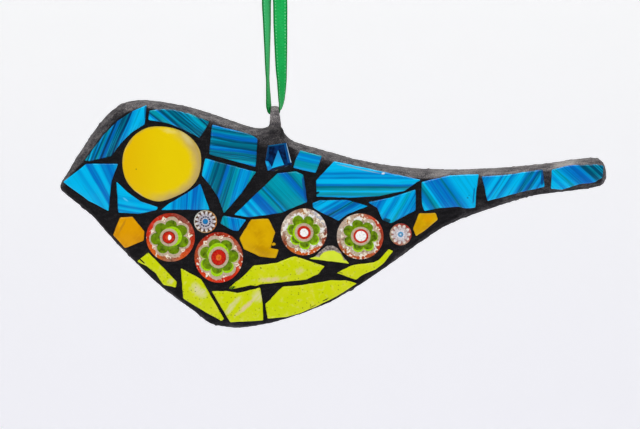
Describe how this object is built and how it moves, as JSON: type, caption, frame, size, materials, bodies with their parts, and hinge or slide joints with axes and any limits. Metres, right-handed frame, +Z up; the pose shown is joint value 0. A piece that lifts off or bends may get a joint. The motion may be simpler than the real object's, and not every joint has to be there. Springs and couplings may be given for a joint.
{
  "type": "hanging bird mosaic ornament",
  "caption": "Flat bird in profile, faced with cut glass tiles and flower-patterned glass slices set in dark grout, with a small hanging loop on its back and a ribbon.",
  "frame": {"origin": "underside of the hanging loop's bar, where the ribbon bears, in the middle of the body's thickness", "axes": "+X from beak to tail, +Y to the flat back with the tiled face towards -Y, +Z up along the ribbon"},
  "size_m": [0.1201, 0.0083, 0.0826],
  "materials": {
    "black_grout": "matte, sandy",
    "grout_smear": "matte, sandy",
    "blue_glass": "glossy, opaque, streaky",
    "navy_glass": "glossy, opaque",
    "lime_glass": "glossy, opaque, mottled",
    "amber_glass": "glossy, opaque",
    "yellow_glass": "glossy, opaque",
    "millefiori_glass": "glossy, patterned right through",
    "green_satin": "satin"
  },
  "bodies": {
    "root": {"grouted_body": "black_grout", "hanging_loop": "grout_smear", "ribbon": "green_satin", "blue_tile_brow": "blue_glass", "blue_tile_crown": "blue_glass", "blue_tile_nape": "blue_glass", "blue_tile_cheek": "blue_glass", "blue_tile_beak": "blue_glass", "blue_tile_chin": "blue_glass", "blue_tile_throat": "blue_glass", "blue_tile_back": "blue_glass", "blue_tile_shoulder": "blue_glass", "blue_tile_breast": "blue_glass", "blue_tile_wing_upper": "blue_glass", "blue_tile_wing_lower": "blue_glass", "blue_tile_wing_tip": "blue_glass", "blue_tile_tail_root": "blue_glass", "blue_tile_tail_middle": "blue_glass", "blue_tile_tail_end": "blue_glass", "dark_blue_faceted_tile": "navy_glass", "yellow_eye_disc": "yellow_glass", "amber_tile_breast": "amber_glass", "amber_tile_middle": "amber_glass", "amber_tile_rump": "amber_glass", "lime_tile_breast": "lime_glass", "lime_tile_belly_front": "lime_glass", "lime_tile_belly_middle": "lime_glass", "lime_tile_belly_upper": "lime_glass", "lime_tile_belly_rear": "lime_glass", "lime_tile_rump": "lime_glass", "lime_tile_half_moon": "lime_glass", "millefiori_breast": "millefiori_glass", "millefiori_belly": "millefiori_glass", "millefiori_back": "millefiori_glass", "millefiori_rump": "millefiori_glass", "small_millefiori_breast": "millefiori_glass", "small_millefiori_rump": "millefiori_glass"}
  },
  "joints": []
}
